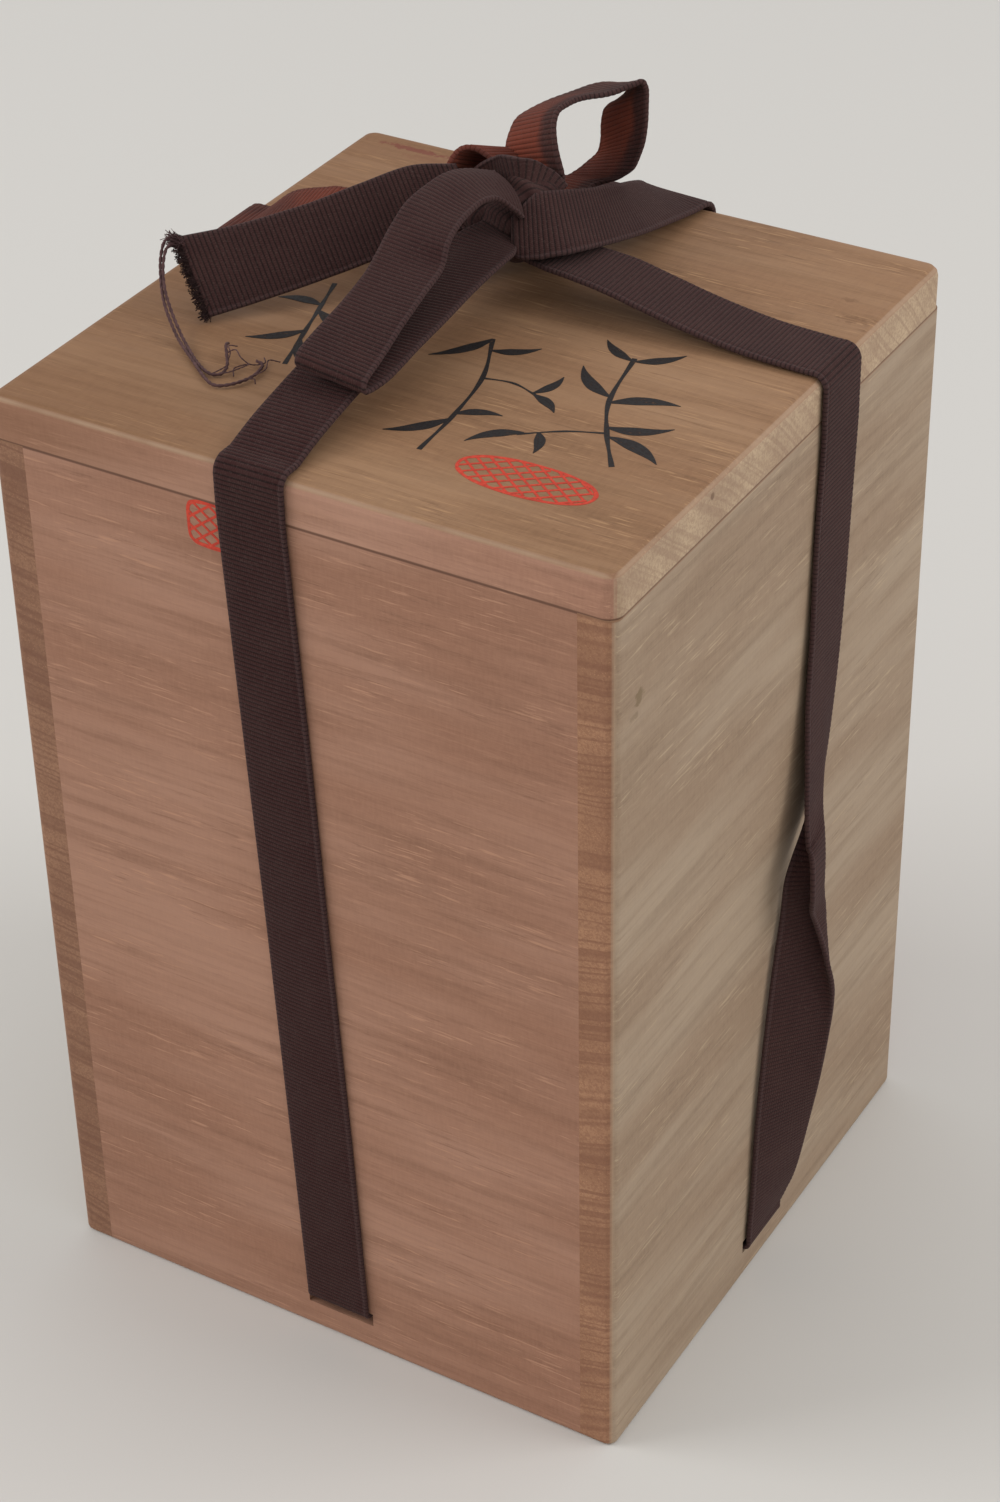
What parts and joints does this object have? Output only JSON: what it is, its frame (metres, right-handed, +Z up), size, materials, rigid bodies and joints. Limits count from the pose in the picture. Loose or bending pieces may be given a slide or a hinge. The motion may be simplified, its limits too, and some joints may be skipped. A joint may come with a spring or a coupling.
{
  "type": "tied wooden storage box",
  "caption": "Tall square paulownia storage box with a flush lift-off lid, tied over the top with a flat woven cord in a bow.",
  "frame": {"origin": "centre of the square base, on the surface the box stands on", "axes": "+Z up through the lid, -Y out of the front face where the cord runs straight down, +X out of the face where the cord turns over once"},
  "size_m": [0.1443, 0.1354, 0.2406],
  "materials": {
    "case_wood": "bare planed paulownia, matte",
    "lid_wood": "bare planed paulownia, matte",
    "inner_wood": "bare planed paulownia, matte",
    "cord_brown": "flat woven cotton, ribbed across",
    "cord_faded": "flat woven cotton, faded to rust",
    "cord_yarn": "loose twisted cotton yarn"
  },
  "bodies": {
    "box": {"front_board": "case_wood", "back_board": "case_wood", "left_board": "case_wood", "right_board": "case_wood", "floor_board": "inner_wood", "under_cord_front_back": "cord_brown", "under_cord_left_right": "cord_brown", "front_strand": "cord_brown", "back_strand": "cord_brown", "left_strand": "cord_brown", "right_strand": "cord_brown"},
    "lid": {"lid_panel": "lid_wood", "lid_batten_front": "inner_wood", "lid_batten_back": "inner_wood", "lid_batten_left": "inner_wood", "lid_batten_right": "inner_wood", "knot": "cord_brown", "loop_front": "cord_brown", "loop_upright": "cord_faded", "tail_left": "cord_brown", "tail_right": "cord_brown", "loose_yarn_long": "cord_yarn", "loose_yarn_short": "cord_yarn", "lid_strand_front": "cord_brown", "lid_strand_back": "cord_brown", "lid_strand_left": "cord_brown", "lid_strand_right": "cord_brown"}
  },
  "joints": [
    {"name": "lid_lift", "type": "slide", "parent": "box", "child": "lid", "axis": [0, 0, 1], "range_m": [0, 0.08]}
  ]
}
